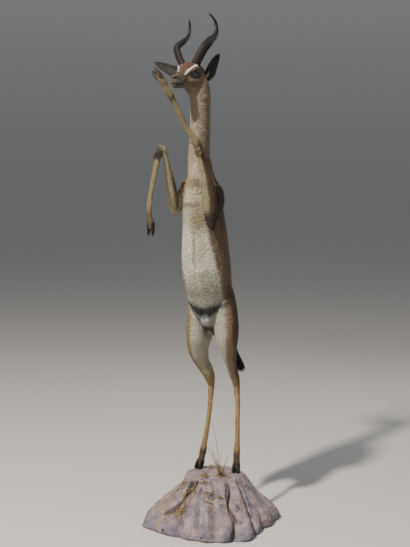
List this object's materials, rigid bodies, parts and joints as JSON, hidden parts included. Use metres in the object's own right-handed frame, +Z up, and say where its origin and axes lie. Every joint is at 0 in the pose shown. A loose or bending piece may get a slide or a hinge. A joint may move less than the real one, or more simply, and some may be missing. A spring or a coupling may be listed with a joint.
{
  "type": "gerenuk taxidermy mount",
  "caption": "Life-size male gerenuk with ringed horns, mounted upright on its hind legs as if browsing, forelegs bent and raised, on a fluted artificial rock base.",
  "frame": {"origin": "centre of the base's flat underside", "axes": "+Z up; the breast faces -Y; +X is the animal's left"},
  "size_m": [0.5832, 0.7302, 2.352],
  "materials": {
    "fawn_hair": "short fawn hair on tanned skin",
    "horn": "dark horn, satin",
    "glass_eye": "dark brown glass eye",
    "hoof": "dark hoof horn, satin",
    "painted_rock": "moulded resin, painted pale lilac grey, matte",
    "dry_straw": "dried grass"
  },
  "bodies": {
    "root": {"torso": "fawn_hair", "neck": "fawn_hair", "head": "fawn_hair", "thigh_right": "fawn_hair", "thigh_left": "fawn_hair", "shank_right": "fawn_hair", "shank_left": "fawn_hair", "hind_cannon_right": "fawn_hair", "hind_cannon_left": "fawn_hair", "upper_foreleg_right": "fawn_hair", "upper_foreleg_left": "fawn_hair", "forearm_right": "fawn_hair", "forearm_left": "fawn_hair", "fore_cannon_right": "fawn_hair", "fore_cannon_left": "fawn_hair", "ear_right": "fawn_hair", "ear_left": "fawn_hair", "tail": "fawn_hair", "horn_right": "horn", "horn_left": "horn", "eye_right": "glass_eye", "eye_left": "glass_eye", "claw_hind_right_a": "hoof", "claw_hind_right_b": "hoof", "claw_hind_left_a": "hoof", "claw_hind_left_b": "hoof", "claw_fore_right_a": "hoof", "claw_fore_right_b": "hoof", "claw_fore_left_a": "hoof", "claw_fore_left_b": "hoof", "base_rock": "painted_rock", "straw_1": "dry_straw", "straw_2": "dry_straw", "straw_3": "dry_straw", "straw_4": "dry_straw", "straw_5": "dry_straw", "straw_6": "dry_straw"}
  },
  "joints": []
}
